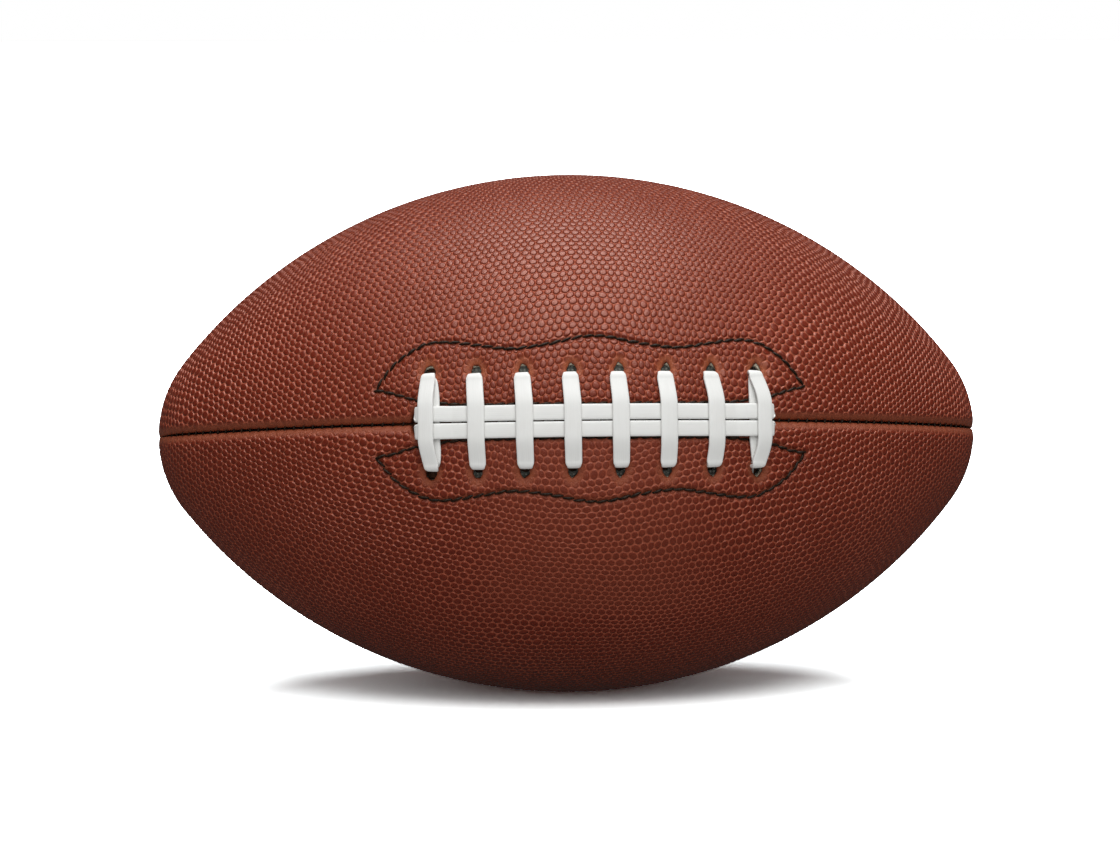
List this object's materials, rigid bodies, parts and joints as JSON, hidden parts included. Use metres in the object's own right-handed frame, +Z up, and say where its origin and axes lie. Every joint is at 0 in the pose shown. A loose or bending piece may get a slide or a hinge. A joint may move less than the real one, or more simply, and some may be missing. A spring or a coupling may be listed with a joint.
{
  "type": "american football",
  "caption": "American football of brown pebbled leather with white lacing over its front seam, lying on its side.",
  "frame": {"origin": "centre of the ball, on its long axis", "axes": "+X along the ball to its right point seen from the laces, -Y the side with the laces, which are turned 8.6 degrees up, +Z up as it lies on its side"},
  "size_m": [0.2738, 0.1754, 0.173],
  "materials": {
    "leather": "pebbled",
    "lining": "woven",
    "thread": "waxed",
    "facing": "coated",
    "lace": "satin",
    "rubber": "matt",
    "bladder": "matt"
  },
  "bodies": {
    "root": {"panel_lace_upper": "leather", "panel_lace_lower": "leather", "panel_back_upper": "leather", "panel_back_lower": "leather", "lining_lace_upper": "lining", "lining_lace_lower": "lining", "lining_back_upper": "lining", "lining_back_lower": "lining", "seam_thread_lace": "thread", "seam_thread_upper": "thread", "seam_thread_back": "thread", "seam_thread_lower": "thread", "facing_upper": "facing", "facing_lower": "facing", "facing_stitches_upper": "thread", "facing_stitches_lower": "thread", "lace": "lace", "tongue": "leather", "bladder": "bladder", "valve_body": "rubber", "valve_plug": "rubber"}
  },
  "joints": []
}
